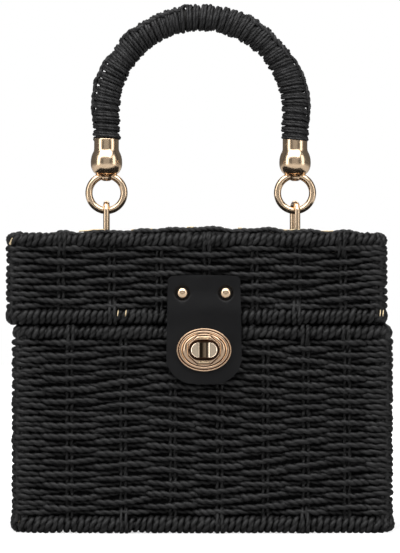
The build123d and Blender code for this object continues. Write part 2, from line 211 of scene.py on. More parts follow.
def straight_lines(name, dimensions, lines, closed):
    """A curve of straight runs through lines of points."""
    curve = bpy.data.curves.new(name, "CURVE")
    curve.dimensions = dimensions
    for points in lines:
        line = curve.splines.new("POLY")
        line.points.add(len(points) - 1)
        line.points.foreach_set("co", [c for point in points for c in (*point, 1.0)])
        line.use_cyclic_u = closed
    return curve


def piece_of_curve(name, curve):
    """Makes a bevelled curve into a smooth mesh piece with no finish yet."""
    laid = placed(name + "_line", curve)
    mesh = bpy.data.meshes.new_from_object(laid.evaluated_get(bpy.context.evaluated_depsgraph_get()))
    bpy.data.objects.remove(laid)
    mesh.name = name
    mesh.materials.clear()
    mesh.shade_smooth()
    return placed(name, mesh)


def cord_section(radius, shape):
    """The outline of two plies pressed together, or of one."""
    outline = []
    for i, turn in enumerate(full_turn(len(shape) * 2)):
        reach = radius * shape[i % len(shape)]
        outline.append((reach * math.cos(turn), reach * math.sin(turn), 0))
    return placed("section", straight_lines("section", "2D", [outline], True))


def run_length(points, closed):
    total = sum((points[i + 1] - points[i]).length for i in range(len(points) - 1))
    return total + ((points[0] - points[-1]).length if closed else 0.0)


def lay_cords(name, runs, radius, closed=False, upright=False, ply_turn=PLY_TURN, shape=CORD_SHAPE):
    """One piece from many runs of cord, each a list of points. The plies' twist has some slack,
    and the cord is thicker and thinner along its way."""
    curve = straight_lines(name, "3D", runs, closed)
    curve.twist_mode = "Z_UP" if upright else "MINIMUM"
    curve.bevel_mode = "OBJECT"
    curve.bevel_object = section = cord_section(radius, shape)
    curve.use_fill_caps = not closed
    for number, (points, line) in enumerate(zip(runs, curve.splines)):
        count = len(points)
        turns = run_length(points, closed) / ply_turn
        each = 2 * math.pi * (round(turns) if closed else turns) / count
        tilts, slubs = [], []
        for i, point in enumerate(points):
            slack = TWIST_SLACK * wander(number * 3.7, i * 0.06) * math.sin(math.pi * i / count)
            tilts.append(number * 2.4 + each * i + slack)
            slubs.append(1 + THICK_AND_THIN * wander(*(point * 90 + Vector((0, 0, number * 1.9)))))
        line.points.foreach_set("tilt", tilts)
        line.points.foreach_set("radius", slubs)
        line.use_smooth = True
    piece = piece_of_curve(name, curve)
    bpy.data.objects.remove(section)
    return piece


def multiplied(tree, colour, by):
    node = tree.nodes.new("ShaderNodeMix")
    node.data_type = "RGBA"
    node.blend_type = "MULTIPLY"
    return connect(node, Factor=1.0, A=colour, B=by)


def black_cord(name, depth, ply_shade_level):
    """Dyed paper cord: near black, a soft satin on the plies and fine creases along them. Where the
    two plies part, painted shade makes it darker and less shiny. A cord's own UV runs along it and round its
    section."""
    material, tree, shader = new_finish(name)
    place = add_node(tree, "TexCoord")
    split = add_node(tree, "SeparateXYZ", place.outputs["UV"])
    turned = add_node(tree, "Math", split.outputs["Y"], 2 * math.pi, operation="MULTIPLY")
    crown = add_node(tree, "Math", add_node(tree, "Math", turned, operation="COSINE"), operation="ABSOLUTE")
    # Painted shade: the valleys between the plies are darker and shine less.
    painted_ply_shade = add_node(tree, "MapRange", crown, From_Min=0.10, From_Max=0.75, To_Min=ply_shade_level, To_Max=1.0)
    along = add_node(tree, "Math", split.outputs["X"], 170, operation="MULTIPLY")
    across = add_node(tree, "Math", split.outputs["Y"], 22, operation="MULTIPLY")
    joined = add_node(tree, "CombineXYZ", along, across)
    creases = add_node(tree, "TexNoise", Vector=joined, Scale=1.0, Detail=3)
    blotches = add_node(tree, "TexNoise", Vector=place.outputs["Object"], Scale=130, Detail=5, Roughness=0.7)
    mixed = add_node(tree, "Mix", Factor=0.5, A=creases, B=blotches)
    low = (0.0045 * depth, 0.0045 * depth, 0.0048 * depth)
    high = (0.017 * depth, 0.0167 * depth, 0.017 * depth)
    connect(
        shader,
        Base_Color=multiplied(tree, colour_ramp(tree, mixed, (0.36, low), (0.64, high)), painted_ply_shade),
        Specular_IOR_Level=add_node(tree, "Math", painted_ply_shade, 0.34, operation="MULTIPLY"),
        Roughness=add_node(tree, "MapRange", creases, To_Min=0.40, To_Max=0.62),
        Normal=add_node(tree, "Bump", Strength=0.8, Distance=0.0003, Height=mixed),
    )
    return material


def finish_piece(piece, body, slot, material, *nodes):
    """Gives a new piece its finish and its place among the moving bodies."""
    piece.data.materials.append(material)
    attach(piece, body)
    if nodes:
        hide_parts(*nodes)


def cord_piece(name, runs, radius, body, *nodes, **how):
    """A finished piece of black cord work."""
    finish_piece(lay_cords(name, runs, radius, **how), body, "cord", cord_finish, *nodes)


cord_finish = black_cord("black_paper_cord", 1.05, 0.50)

# ---- Woven walls -------------------------------------------------------------------------
# The walls are rows of cord laid one on another round the box, each going over one pair of
# upright cords and under the next. The box's corners count as a pair, so every row closes.
WALL_HALF_X = 96.2 * MM
WALL_HALF_Y = 46.5 * MM
WALL_BEND = 6.0 * MM
WEAVE_DEPTH = 2.05 * MM
SWING_POWER = 0.62
LID_SHIFT = -3.0 * MM
BODY_STAKES = (-68.9, -41.0, -15.3, 9.1, 32.8, 53.7, 75.1)
LID_STAKES = (-70.3, -44.0, -19.3, 5.4, 30.1, 52.3, 76.0)
SIDE_STAKES = (-23.0, 0.0, 23.0)
FRONT_RUN = 2 * (WALL_HALF_X - WALL_BEND)
SIDE_RUN = 2 * (WALL_HALF_Y - WALL_BEND)
BEND_RUN = math.pi * WALL_BEND / 2
WAY_ROUND = 2 * FRONT_RUN + 2 * SIDE_RUN + 4 * BEND_RUN
TO_RIGHT = Vector((1, 0, 0))
UPWARDS = Vector((0, 0, 1))
CORNERS = (7, 11, 19, 23)
CORNER_PROUD, CORNER_STEP = 1.9 * MM, 0.45 * MM
CORNER_REACH = 10 * MM
ROW_WAVE = (2.0 * MM, 0.050)
ROW_RIPPLE = (1.3 * MM, 0.018)
ROW_IN_AND_OUT = (0.6 * MM, 0.020)
UPRIGHT_R = 1.15 * MM
UPRIGHT_GAP = 1.25 * MM
UPRIGHT_IN = 0.45 * MM
UPRIGHT_BULGE = 0.35 * MM
CORNER_CORD_R = 1.6 * MM
CORNER_CORDS = ((-3.5, -0.5), (-1.8, 0.2), (0.0, 1.2), (1.8, 0.2), (3.5, -0.5))


def outline_point(along):
    """A point on the wall's middle line, and the way out of the box there. It starts at the
    front's left end and goes round by the right."""
    left = along % WAY_ROUND
    x, y, heading = -(WALL_HALF_X - WALL_BEND), -WALL_HALF_Y, 0.0
    for straight in (FRONT_RUN, SIDE_RUN, FRONT_RUN, SIDE_RUN):
        if left <= straight:
            place = Vector((x + math.cos(heading) * left, y + math.sin(heading) * left, 0))
            return place, Vector((math.sin(heading), -math.cos(heading), 0))
        x += math.cos(heading) * straight
        y += math.sin(heading) * straight
        left -= straight
        centre = Vector((x - math.sin(heading) * WALL_BEND, y + math.cos(heading) * WALL_BEND, 0))
        turned = heading + min(left, BEND_RUN) / WALL_BEND
        out = Vector((math.sin(turned), -math.cos(turned), 0))
        if left <= BEND_RUN:
            return centre + out * WALL_BEND, out
        left -= BEND_RUN
        heading += math.pi / 2
        x, y = centre.x + out.x * WALL_BEND, centre.y + out.y * WALL_BEND
    return Vector((x, y, 0)), out


def round_the_box(step):
    """Evenly spaced places on the outline, each with its distance round and its way out."""
    steps = int(WAY_ROUND / step)
    for i in range(steps):
        along = WAY_ROUND * i / steps
        yield along, *outline_point(along)


def stake_places(front_stakes):
    """Where the pairs of uprights and the four corners are, as distances round the outline."""
    places = []
    for start, way in ((0, 1), (FRONT_RUN + SIDE_RUN + 2 * BEND_RUN, -1)):
        places += [start + FRONT_RUN / 2 + way * x * MM for x in front_stakes[::way]]
        places.append(start + FRONT_RUN + BEND_RUN / 2)
        places += [start + FRONT_RUN + BEND_RUN + SIDE_RUN / 2 + y * MM for y in SIDE_STAKES]
        places.append(start + FRONT_RUN + SIDE_RUN + BEND_RUN * 1.5)
    return places


def over_and_under(half_turns):
    """Goes from 1 to -1 and back, with a quick crossing and a long stay on each side."""
    wave = math.cos(math.pi * half_turns)
    return math.copysign(abs(wave) ** SWING_POWER, wave)


def weave_swing(along, places):
    """Goes from 1 at one pair of uprights to -1 at the next."""
    for k in range(len(places)):
        low = places[k - 1] - (WAY_ROUND if k == 0 else 0)
        if low <= along < places[k]:
            return over_and_under(k - 1 + (along - low) / (places[k] - low))
    return weave_swing(along - WAY_ROUND, places)


def hand_drift(point, size, reach, seed):
    return size * wander(point.x / reach + seed, point.y / reach, point.z / reach)


def corner_nearness(along, places):
    """1 at the middle of a corner, and 0 from a little way off."""
    gaps = [abs(along - places[k]) for k in CORNERS]
    away = min(min(gap, WAY_ROUND - gap) for gap in gaps)
    return max(0.0, 1 - away / CORNER_REACH) ** 0.5


def wall_rows(low, high, count, front_stakes, shift):
    """The closed rows of a woven wall. They wander less near the rims, and lie outside at the
    corners."""
    places = stake_places(front_stakes)
    way = []
    for along, middle, out in round_the_box(CORD_STEP):
        way.append((middle, out, weave_swing(along, places), corner_nearness(along, places)))
    rows = []
    for row in range(count):
        height = low + (high - low) * row / (count - 1)
        calm = min(1.0, (height - low) / (6 * MM) + 0.3, (high - height) / (6 * MM) + 0.3)
        side = 1 if row % 2 else -1
        points = []
        for middle, out, swing, corner in way:
            place = Vector((middle.x, middle.y, height))
            lift = hand_drift(place, *ROW_WAVE, 3.0) + hand_drift(place, *ROW_RIPPLE, 20.0 + row)
            depth = WEAVE_DEPTH * swing * side + hand_drift(place, *ROW_IN_AND_OUT, 40.0 + row)
            depth += corner * (CORNER_PROUD + CORNER_STEP * side - depth)
            place.z += lift * calm
            points.append(place + out * depth + TO_RIGHT * shift)
        rows.append(points)
    return rows


def uprights(low, high, count, front_stakes, shift):
    """The pairs of upright cords, bulging a little between the rows that cross in front."""
    steps = int((high - low) / (1.1 * MM))
    runs = []
    for number, along in enumerate(stake_places(front_stakes)):
        if number in CORNERS:
            continue
        for beside in (-UPRIGHT_GAP, UPRIGHT_GAP):
            middle, out = outline_point(along + beside)
            points = []
            for i in range(steps + 1):
                row = i / steps * (count - 1)
                deep = UPRIGHT_BULGE * math.cos(math.pi * (row + number)) - UPRIGHT_IN
                place = Vector((middle.x, middle.y, low + (high - low) * i / steps))
                points.append(place + out * deep + TO_RIGHT * shift)
            runs.append(points)
    return runs


def corner_cords(low, high, front_stakes, shift):
    """Thicker cords down the outside of the corner wires, which the rows pass over and under."""
    places = stake_places(front_stakes)
    steps = int((high - low) / (2 * MM))
    heights = [low + (high - low) * i / steps for i in range(steps + 1)]
    runs = []
    for k in CORNERS:
        for beside, proud in CORNER_CORDS:
            place, out = outline_point(places[k] + beside * MM)
            place += out * proud * MM + TO_RIGHT * shift
            runs.append([Vector((place.x, place.y, height)) for height in heights])
    return runs


BODY_ROWS, LID_ROWS = 30, 10
ROW_LAY = {"closed": True, "upright": True}
body_rows = wall_rows(10.9 * MM, 98.9 * MM, BODY_ROWS, BODY_STAKES, 0.0)
body_uprights = uprights(6 * MM, 102 * MM, BODY_ROWS, BODY_STAKES, 0.0)
body_corners = corner_cords(6 * MM, 104 * MM, BODY_STAKES, 0.0)
lid_rows = wall_rows(117.6 * MM, 147.7 * MM, LID_ROWS, LID_STAKES, LID_SHIFT)
lid_uprights = uprights(114 * MM, 150 * MM, LID_ROWS, LID_STAKES, LID_SHIFT)
lid_corners = corner_cords(112 * MM, 152 * MM, LID_STAKES, LID_SHIFT)
cord_piece("body_wall_lower", body_rows[:BODY_ROWS // 2], CORD_R, "basket", "body_weave", **ROW_LAY)
cord_piece("body_wall_upper", body_rows[BODY_ROWS // 2:], CORD_R, "basket", **ROW_LAY)
cord_piece("body_uprights", body_uprights, UPRIGHT_R, "basket")
cord_piece("body_corner_cords", body_corners, CORNER_CORD_R, "basket", **PLAIN_CORD)
cord_piece("lid_wall", lid_rows, CORD_R, "lid", "lid_weave", **ROW_LAY)
cord_piece("lid_uprights", lid_uprights, UPRIGHT_R, "lid")
cord_piece("lid_corner_cords", lid_corners, CORNER_CORD_R, "lid", **PLAIN_CORD)

# ---- Woven top and floor -----------------------------------------------------------------
# The lid's top and the body's floor are worked the same way: cords from side to side over
# and under pairs that run from front to back.
PANEL_PITCH = 2.95 * MM
LID_PANEL_Z = 151.0 * MM
FLOOR_PANEL_Z = 6.4 * MM


def panel_rows(height, front_stakes, shift, step):
    half_x, half_y = WALL_HALF_X - MM, WALL_HALF_Y - 1.5 * MM
    places = [-WALL_HALF_X] + [x * MM for x in front_stakes] + [WALL_HALF_X]
    count = int(2 * half_y / PANEL_PITCH) + 1
    steps = int(2 * half_x / step)
    rows = []
    for row in range(count):
        points = []
        for i in range(steps + 1):
            x = -half_x + 2 * half_x * i / steps
            k = max(j for j in range(len(places) - 1) if places[j] <= x + 1e-6)
            through = (x - places[k]) / (places[k + 1] - places[k])
            spot = Vector((x + shift, -half_y + 2 * half_y * row / (count - 1), height))
            spot.y += hand_drift(spot, 0.9 * MM, 0.05, 7.0) + hand_drift(spot, 0.4 * MM, 0.014, 60.0 + row)
            spot.z += WEAVE_DEPTH * over_and_under(k + through + row)
            points.append(spot)
        rows.append(points)
    return rows


def panel_pairs(height, front_stakes, shift):
    half_y = WALL_HALF_Y - MM
    steps = int(2 * half_y / (1.6 * MM))
    line = [-half_y + 2 * half_y * i / steps for i in range(steps + 1)]
    places = [x * MM + beside + shift for x in front_stakes for beside in (-UPRIGHT_GAP, UPRIGHT_GAP)]
    return [[Vector((x, y, height)) for y in line] for x in places]


for name, height, stakes, shift, step, body in (
    ("lid_top", LID_PANEL_Z, LID_STAKES, LID_SHIFT, 1.15 * MM, "lid"),
    ("body_floor", FLOOR_PANEL_Z, BODY_STAKES, 0.0, 1.8 * MM, "basket"),
):
    cord_piece(name, panel_rows(height, stakes, shift, step), CORD_R, body, upright=True)
    cord_piece(name + "_pairs", panel_pairs(height, stakes, shift), UPRIGHT_R, body)

# ---- Bound rims --------------------------------------------------------------------------
# Each rim is a bent wire with a packing cord round it and cord wound tightly over both. At some
# of the uprights the pair's ends come out of the wall and are turned over the rim.
RIM_CORD_R = 1.85 * MM
RIM_PLY_TURN = 9.5 * MM
RIM_PITCH = 3.3 * MM
RIM_LEAN = 0.35 * MM
RIM_SIDE_IN = 0.9 * MM
RIM_STEPS = 16
RIM_UNEVEN = 1.1 * MM
RIM_LOOSE = 0.8 * MM
PACKING_R = 2.6 * MM
PACKING_STEP = 3 * MM
TURNED_R = 1.25 * MM
TURNED_GAP = 1.3 * MM
BODY_RIM_Z, BODY_RIM_R = 104.1 * MM, 3.75 * MM
BASE_RIM_Z, BASE_RIM_R = 4.5 * MM, 4.6 * MM
LID_RIM_Z, LID_RIM_R = 112.4 * MM, 4.2 * MM
LID_TOP_RIM_Z, LID_TOP_RIM_R = 152.0 * MM, 4.0 * MM


def rim_point(along, shift):
    """A point on a rim's line, which is drawn in a little at the box's two ends."""
    place, out = outline_point(along)
    place.x = place.x * (1 - RIM_SIDE_IN / WALL_HALF_X) + shift
    return place, out


def rim_turns(height, rim_r, shift, seed):
    """One long closed winding round a rim. It stays above the ground that the bag stands on."""
    turns = round(WAY_ROUND / RIM_PITCH)
    total = turns * RIM_STEPS
    points = []
    for i in range(total):
        turn = 2 * math.pi * (i % RIM_STEPS) / RIM_STEPS
        around = i / total * turns
        uneven = RIM_UNEVEN * wander(seed, around * 0.31)
        lean = RIM_LEAN + RIM_UNEVEN * wander(seed + 9, around * 0.23)
        place, out = rim_point(WAY_ROUND * i / total + lean * math.sin(turn) + uneven, shift)
        reach = rim_r + 0.3 * MM - RIM_CORD_R + RIM_LOOSE * wander(seed + 5, around * 0.7)
        place.z = max(height + reach * math.sin(turn), RIM_CORD_R * 0.9)
        points.append(place + out * reach * math.cos(turn))
    return points


def turned_over(along, rim_z, rim_r, way, shift):
    """A pair of uprights that comes out of the wall and goes over a rim, up (1) or down (-1)."""
    runs = []
    lie_r = rim_r - 0.15 * MM
    for beside in (-TURNED_GAP, TURNED_GAP):
        rises = [(0.2 * MM, -rim_r - 4.6 * MM), (1.6 * MM, -rim_r - 2.9 * MM), (lie_r * 0.80, -rim_r * 0.86)]
        for degrees in range(-20, 76, 12):
            turn = math.radians(degrees)
            rises.append((lie_r * math.cos(turn), lie_r * math.sin(turn)))
        points = []
        for off, up in rises:
            spread = 0.35 * up / rim_r
            place, out = rim_point(along + beside * (1 + 0.12 * spread) + 0.4 * MM * spread, shift)
            place.z = rim_z + way * up
            points.append(place + out * off)
        runs.append(points)
    return runs


MOUTH_ENDS = (0, 2, 5, 6, 9, 21)
LOW_ENDS = (1, 3, 5, 8, 10, 13, 15, 17, 20, 22)
TOP_ENDS = (0, 3, 6, 9, 12, 14, 16, 18, 21)
BODY_SIDE = (0.0, BODY_STAKES, "basket")
LID_SIDE = (LID_SHIFT, LID_STAKES, "lid")
for name, height, rim_r, seed, over, way, node, (shift, stakes, body) in (
    ("body_mouth_rim", BODY_RIM_Z, BODY_RIM_R, 1.0, MOUTH_ENDS, 1, "body_binding_top", BODY_SIDE),
    ("body_base_rim", BASE_RIM_Z, BASE_RIM_R, 2.0, LOW_ENDS, -1, "body_binding_bottom", BODY_SIDE),
    ("lid_mouth_rim", LID_RIM_Z, LID_RIM_R, 3.0, LOW_ENDS, -1, "lid_binding_bottom", LID_SIDE),
    ("lid_top_rim", LID_TOP_RIM_Z, LID_TOP_RIM_R, 4.0, TOP_ENDS, 1, "lid_binding_top", LID_SIDE),
):
    places = stake_places(stakes)
    winding = [rim_turns(height, rim_r, shift, seed)]
    stops = [place for along, place, out in round_the_box(PACKING_STEP)]
    packing = [[Vector((place.x + shift, place.y, height)) for place in stops]]
    ends = [run for k in over for run in turned_over(places[k], height, rim_r, way, shift)]
    cord_piece(name, winding, RIM_CORD_R, body, node, closed=True, ply_turn=RIM_PLY_TURN)
    cord_piece(name + "_packing", packing, PACKING_R, body, closed=True, **PLAIN_CORD)
    cord_piece(name + "_ends", ends, TURNED_R, body)

# ---- Edge cord on the lid ----------------------------------------------------------------
# A last cord lies along the lid's top edge. It rises towards the middle, where the woven top
# is fullest, and is lifted into small waves by the pairs turned over the rim. A filler behind
# it closes the gap under it.
EDGE_CORD_R = 1.5 * MM
FILLER_R = 1.6 * MM
EDGE_WAY = (
    (-97, 153.2), (-90, 153.9), (-76, 154.2), (-69, 155.9), (-62, 155.4), (-50, 156.3),
    (-38, 155.9), (-22, 156.6), (-10, 157.3), (4, 157.7), (18, 157.0), (34, 157.2),
    (46, 156.0), (56, 156.4), (66, 155.4), (78, 155.8), (88, 154.0), (97, 153.2),
)
EDGE_SIDE_Z = 153.6 * MM


def between(value, table):
    """Reads a table of places and values, easing from each one to the next."""
    for (a, low), (b, high) in zip(table, table[1:]):
        if value <= b:
            through = max((value - a) / (b - a), 0.0)
            eased = through * through * (3 - 2 * through)
            return low + (high - low) * eased
    return table[-1][1]


def edge_height(place):
    if abs(place.y) < WALL_HALF_Y - WALL_BEND:
        return EDGE_SIDE_Z + hand_drift(place, 1.6 * MM, 0.03, 12.0)
    return between(place.x / MM, EDGE_WAY) * MM


edge_run, filler_run = [], []
for along, place, out in round_the_box(CORD_STEP):
    height = edge_height(place) + hand_drift(place, 1.3 * MM, 0.011, 77.0)
    inward = 0.3 * MM + hand_drift(place, 0.8 * MM, 0.03, 54.0)
    edge_run.append(Vector((place.x + LID_SHIFT, place.y, height)) - out * inward)
for along, place, out in round_the_box(2 * MM):
    behind = Vector((place.x + LID_SHIFT, place.y, edge_height(place) - 1.9 * MM))
    filler_run.append(behind - out * 1.7 * MM)
cord_piece("lid_edge_cord", [edge_run], EDGE_CORD_R, "lid", closed=True, ply_turn=7 * MM)
cord_piece("lid_edge_filler", [filler_run], FILLER_R, "lid", closed=True, **PLAIN_CORD)

# ---- Hinge lashings ----------------------------------------------------------------------
# The lid is tied on by two lashings, each of three turns of cord passed through the weave
# round both rear rims and drawn up.
LASHING_R = 1.4 * MM
LASHING_REACH = 5.45 * MM
LASHING_APART = 3.1
LASHING_STEPS = 56
for side, hinge_x in (("left", -58.0), ("right", 58.0)):
    loops = []
    for beside in (-LASHING_APART, 0.0, LASHING_APART):
        loop = []
        for turn in full_turn(LASHING_STEPS):
            middle = LID_RIM_Z if math.sin(turn) >= 0 else BODY_RIM_Z
            x = (hinge_x + beside + 0.5 * math.sin(turn + beside)) * MM
            y = WALL_HALF_Y + LASHING_REACH * math.cos(turn)
            loop.append(Vector((x, y, middle + LASHING_REACH * math.sin(turn))))
        loops.append(loop)
    lashing = lay_cords("hinge_lashing_" + side, loops, LASHING_R, closed=True)
    lashing.data.materials.append(cord_finish)
    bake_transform(lashing)
    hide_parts("hinge_loop_" + side)

# ---- Cloth linings -----------------------------------------------------------------------
# A plain black cotton lining is glued inside the body, and a second one inside the lid. Each is
# one piece of cloth whose edge is tucked behind the rim.
CLOTH_THICK = 0.6 * MM
LINING_CORNER = 4 * MM


def cloth(name):
    """Plain-weave cotton: two crossed sets of fine threads, on the cloth's own UV in metres."""
    material, tree, shader = new_finish(name)
    place = add_node(tree, "TexCoord").outputs["UV"]
    threads = []
    for direction in ("X", "Y"):
        wave = add_node(tree, "TexWave", place, Scale=500, Distortion=0.6)
        wave.bands_direction = direction
        threads.append(wave.outputs["Fac"])
    crossed = add_node(tree, "Math", *threads, operation="MULTIPLY")
    connect(
        shader,
        Base_Color=colour_ramp(tree, crossed, (0.0, (0.006, 0.006, 0.0065)), (1.0, (0.017, 0.017, 0.018))),
        Normal=add_node(tree, "Bump", Strength=0.3, Distance=0.0002, Height=crossed),
        Roughness=0.85, Specular_IOR_Level=0.2, Sheen_Weight=0.1,
    )
    return material


def new_parts(grown, kind):
    """The corners, edges or faces among what a bmesh operator has made."""
    return [part for part in grown["geom"] if isinstance(part, kind)]


def draw_out(work, edges):
    """Extrudes an open edge, and gives its new corners and its new edges."""
    grown = bmesh.ops.extrude_edge_only(work, edges=edges)
    fresh = new_parts(grown, bmesh.types.BMVert)
    edge = [e for e in new_parts(grown, bmesh.types.BMEdge) if all(v in fresh for v in e.verts)]
    return grown, fresh, edge


def lining(name, steps, shift):
    """A sheet that covers a panel and turns up or down the walls. Each step gives the distance
    in from the wall's middle line, and the height."""
    work = bmesh.new()
    uv = work.loops.layers.uv.new("UVMap")
    bmesh.ops.create_grid(work, x_segments=1, y_segments=1, size=1.0)
    first_in, first_z = steps[0]
    for vert in work.verts:
        vert.co = (vert.co.x * (WALL_HALF_X - first_in), vert.co.y * (WALL_HALF_Y - first_in), first_z)
    bmesh.ops.bevel(
        work, geom=work.verts[:], offset=LINING_CORNER, segments=5, profile=0.5,
        affect="VERTICES", material=-1
    )
    panel = max(work.faces, key=lambda face: face.calc_area())
    edge = [e for e in work.edges if e.is_boundary]
    for now_in, now_z in steps[1:]:
        grown, fresh, edge = draw_out(work, edge)
        for vert in fresh:
            core_x = max(min(vert.co.x, WALL_HALF_X - WALL_BEND), WALL_BEND - WALL_HALF_X)
            core_y = max(min(vert.co.y, WALL_HALF_Y - WALL_BEND), WALL_BEND - WALL_HALF_Y)
            way = Vector((vert.co.x - core_x, vert.co.y - core_y, 0)).normalized()
            vert.co = Vector((core_x, core_y, now_z)) + way * (WALL_BEND - now_in)
    for face in work.faces:
        facing = face.calc_center_median()
        sideways = abs(facing.y) / WALL_HALF_Y > abs(facing.x) / WALL_HALF_X
        for loop in face.loops:
            x, y, z = loop.vert.co
            if face is panel:
                loop[uv].uv = (x, y)
            else:
                loop[uv].uv = (x if sideways else y, z)
    bmesh.ops.translate(work, vec=Vector((shift, 0, 0)), verts=work.verts[:])
    bmesh.ops.recalc_face_normals(work, faces=work.faces[:])
    area = sum(face.calc_area() for face in work.faces)
    mesh = bpy.data.meshes.new(name)
    work.to_mesh(mesh)
    work.free()
    sheet = placed(name, mesh)
    thickness = sheet.modifiers.new("thickness", "SOLIDIFY")
    thickness.thickness = CLOTH_THICK
    thickness.offset = 0
    return sheet, area


IN_WALL = 3.3 * MM
BODY_LINING_STEPS = (
    (IN_WALL, 9.6 * MM), (IN_WALL, 12 * MM), (IN_WALL, 40 * MM), (IN_WALL, 70 * MM), (IN_WALL, 97.5 * MM),
    (4.5 * MM, 101 * MM), (4.6 * MM, 108.0 * MM),
)
LID_LINING_STEPS = (
    (IN_WALL, 146.8 * MM), (IN_WALL, 144 * MM), (IN_WALL, 130 * MM), (IN_WALL, 119.5 * MM),
    (4.9 * MM, 116 * MM), (5.0 * MM, 108.4 * MM),
)
cloth_finish = cloth("black_cotton")
body_cloth, body_area = lining("body_cloth", BODY_LINING_STEPS, 0.0)
lid_cloth, lid_area = lining("lid_cloth", LID_LINING_STEPS, LID_SHIFT)
finish_piece(body_cloth, "basket", "lining", cloth_finish, "body_lining")
finish_piece(lid_cloth, "lid", "lining", cloth_finish, "lid_lining")

# ---- Handle wrapping ---------------------------------------------------------------------
# The handle's core is padded and wound with cord in close turns, and a second cord is worked
# along the outside of the arch, locking each turn, as a raised wandering ridge.
HANDLE_X = -0.8 * MM
HANDLE_HALF = 50.3 * MM
ARCH_Z = 221.0 * MM
WRAP_LOW = 206.2 * MM
HANDLE_LEG = ARCH_Z - WRAP_LOW
HANDLE_LONG = 2 * HANDLE_LEG + math.pi * HANDLE_HALF
GRIP_R = 7.25 * MM
WRAP_PLY_R = 1.0 * MM
WRAP_PLY_APART = 0.68 * MM
WRAP_PITCH = 3.7 * MM
WRAP_STEPS = 30
WRAP_UNEVEN = 0.8 * MM
WRAP_LOOSE = 0.9 * MM
PADDING_R = 5.7 * MM
RIDGE_R = 1.4 * MM
RIDGE_WAY = (
    (0.0, -95), (0.06, -25), (0.10, -4), (0.21, 0), (0.25, -55), (0.29, 5), (0.33, 44), (0.44, 46),
    (0.48, -40), (0.55, -80), (0.61, -30), (0.65, 42), (0.76, 46), (0.80, 8), (0.84, 2), (0.93, 0),
    (0.97, -40), (1.0, -95),
)
RIDGE_PROUD = (
    (0.0, -0.2), (0.10, 0.0), (0.13, 0.1), (0.15, 0.75), (0.17, 0.1), (0.25, -0.4), (0.78, -0.4),
    (0.85, 0.0), (1.0, -0.2),
)
TO_BACK = Vector((0, 1, 0))


def arch_point(along):
    """A point on the handle's line, and the way out of the arch there."""
    if along < HANDLE_LEG:
        return Vector((HANDLE_X - HANDLE_HALF, 0, WRAP_LOW + along)), Vector((-1, 0, 0))
    if along > HANDLE_LEG + math.pi * HANDLE_HALF:
        down = along - HANDLE_LEG - math.pi * HANDLE_HALF
        return Vector((HANDLE_X + HANDLE_HALF, 0, ARCH_Z - down)), Vector((1, 0, 0))
    turn = (along - HANDLE_LEG) / HANDLE_HALF
    out = Vector((-math.cos(turn), 0, math.sin(turn)))
    return Vector((HANDLE_X, 0, ARCH_Z)) + out * HANDLE_HALF, out


def handle_turns():
    """The close winding from cap to cap, as its two plies lying side by side."""
    turns = round(HANDLE_LONG / WRAP_PITCH)
    total = turns * WRAP_STEPS
    plies = []
    for beside in (-WRAP_PLY_APART, WRAP_PLY_APART):
        points = []
        for i in range(total + 1):
            turn = 2 * math.pi * i / WRAP_STEPS
            around = i / WRAP_STEPS
            uneven = WRAP_UNEVEN * wander(9.0, around * 0.6)
            along = min(max(HANDLE_LONG * i / total + uneven + beside, 0.0), HANDLE_LONG)
            place, out = arch_point(along)
            reach = GRIP_R - WRAP_PLY_R + WRAP_LOOSE * wander(11.0, around * 0.9, beside / MM)
            points.append(place + out * reach * math.cos(turn) + TO_BACK * reach * math.sin(turn))
        plies.append(points)
    return plies


def ridge_run():
    """The lock stitch: how far round the grip it lies, and how proud, changes along the arch."""
    steps = int(HANDLE_LONG / (0.9 * MM))
    points = []
    for i in range(steps + 1):
        fraction = i / steps
        place, out = arch_point(HANDLE_LONG * fraction)
        stitch = math.pi * HANDLE_LONG * fraction / WRAP_PITCH
        turn = math.radians(between(fraction, RIDGE_WAY) + 3 * math.sin(stitch))
        reach = GRIP_R + (between(fraction, RIDGE_PROUD) + 0.15 * math.cos(stitch)) * MM
        points.append(place + out * reach * math.cos(turn) - TO_BACK * reach * math.sin(turn))
    return points


# A copy of the same cord, painted over twice as light, with lighter valleys: painted highlight on the
# handle's top.
handle_cord_lit_copy = black_cord("black_handle_cord", 2.2, 0.55)
padding_steps = int(HANDLE_LONG / (2 * MM))
padding_run = [arch_point(HANDLE_LONG * i / padding_steps)[0] for i in range(padding_steps + 1)]
winding = lay_cords("handle_winding", handle_turns(), WRAP_PLY_R, ply_turn=9 * MM, shape=PLY_SHAPE)
padding = lay_cords("handle_padding", [padding_run], PADDING_R, ply_turn=1.0, shape=PLY_SHAPE + PLY_SHAPE)
ridge = lay_cords("handle_ridge", [ridge_run()], RIDGE_R, ply_turn=8 * MM)
finish_piece(padding, "handle", "handle_cord", handle_cord_lit_copy)
finish_piece(winding, "handle", "handle_cord", handle_cord_lit_copy, "handle_wrap")
finish_piece(ridge, "handle", "handle_cord", handle_cord_lit_copy)

